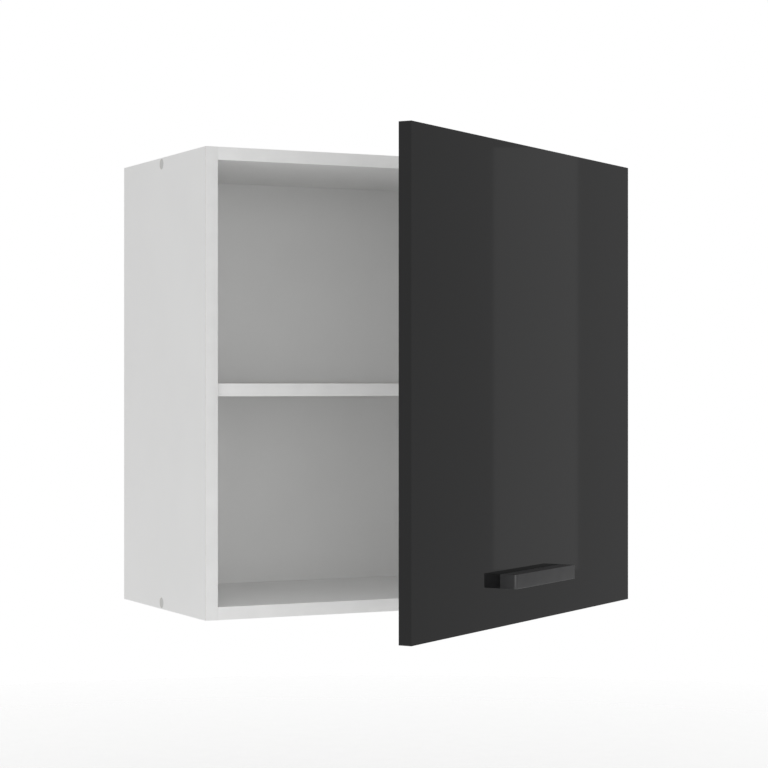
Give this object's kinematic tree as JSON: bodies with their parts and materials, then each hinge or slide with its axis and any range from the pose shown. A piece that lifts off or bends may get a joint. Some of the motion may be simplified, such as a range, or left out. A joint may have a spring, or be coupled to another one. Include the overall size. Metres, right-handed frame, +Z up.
{
  "type": "hanging wall cabinet",
  "caption": "Hanging wall cabinet: white box carcass with one shelf and a dark gloss overlay door with a bar handle on concealed hinges.",
  "frame": {"origin": "on the wall plane at the rear edges of the carcass, mid-width, level with the underside of the carcass", "axes": "+Y towards the wall, +Z up, +X to the right as seen from the room"},
  "size_m": [0.6, 0.648, 0.58],
  "materials": {
    "board_white": "white melamine, satin",
    "edge_white": "white edge banding, satin",
    "back_white": "white faced hardboard",
    "door_gloss": "anthracite high gloss",
    "handle_dark": "anthracite, satin",
    "hinge_nickel": "nickel plated",
    "die_cast_zinc": "zinc, satin",
    "screw_steel": "nickel plated",
    "white_plastic": "moulded, matt",
    "cap_plastic": "moulded, matt",
    "dowel_beech": "bare beech",
    "bumper_rubber": "clear soft rubber"
  },
  "bodies": {
    "cabinet": {"side_panel_left": "board_white", "side_panel_right": "board_white", "top_panel": "board_white", "bottom_panel": "board_white", "back_panel": "back_white", "edge_band_left": "edge_white", "edge_band_right": "edge_white", "edge_band_top": "edge_white", "edge_band_bottom": "edge_white", "shelf": "board_white", "edge_band_shelf": "edge_white", "shelf_pins": "screw_steel", "corner_screws": "screw_steel", "corner_screw_caps": "cap_plastic", "corner_dowels": "dowel_beech", "hanger_housing_left": "white_plastic", "hanger_housing_right": "white_plastic", "hanger_screws": "screw_steel", "hanger_cover_left": "white_plastic", "hanger_cover_right": "white_plastic", "hinge_plate_lower": "die_cast_zinc", "hinge_plate_upper": "die_cast_zinc", "hinge_plate_screws": "screw_steel", "hinge_arm_lower": "hinge_nickel", "hinge_arm_upper": "hinge_nickel", "hinge_arm_screws": "screw_steel", "hinge_arm_pins": "screw_steel"},
    "outer_links": {"outer_link_lower": "hinge_nickel", "outer_link_upper": "hinge_nickel"},
    "inner_links": {"inner_link_lower": "hinge_nickel", "inner_link_upper": "hinge_nickel", "inner_link_pins": "screw_steel"},
    "door": {"door_panel": "door_gloss", "handle": "handle_dark", "handle_screws": "screw_steel", "door_bumpers": "bumper_rubber", "hinge_cup_lower": "hinge_nickel", "hinge_cup_upper": "hinge_nickel", "hinge_cup_pins": "screw_steel", "hinge_cup_screws": "screw_steel"},
    "hook_left": {"hanger_hook_left": "die_cast_zinc"},
    "hook_right": {"hanger_hook_right": "die_cast_zinc"}
  },
  "joints": [
    {"name": "outer_link_swing", "type": "hinge", "parent": "cabinet", "child": "outer_links", "pos_m": [0.252, -0.296, 0.29], "axis": [0, 0, 1], "range_deg": [-26.28, 14.67]},
    {"name": "door_swing", "type": "hinge", "parent": "outer_links", "child": "door", "pos_m": [0.27914, -0.31238, 0.29], "axis": [0, 0, 1], "range_deg": [-48.62, 87.23]},
    {"name": "inner_link_swing", "type": "hinge", "parent": "cabinet", "child": "inner_links", "pos_m": [0.24, -0.296, 0.29], "axis": [0, 0, 1], "range_deg": [-22.62, 12.63]},
    {"name": "hook_height_left", "type": "slide", "parent": "cabinet", "child": "hook_left", "axis": [0, 0, 1], "range_m": [-0.003, 0.003]},
    {"name": "hook_height_right", "type": "slide", "parent": "cabinet", "child": "hook_right", "axis": [0, 0, 1], "range_m": [-0.003, 0.003]}
  ],
  "couplings": [
    {"joint": "outer_link_swing", "follows": "door_swing", "ratio": -0.3007},
    {"joint": "inner_link_swing", "follows": "door_swing", "ratio": -0.25874}
  ]
}
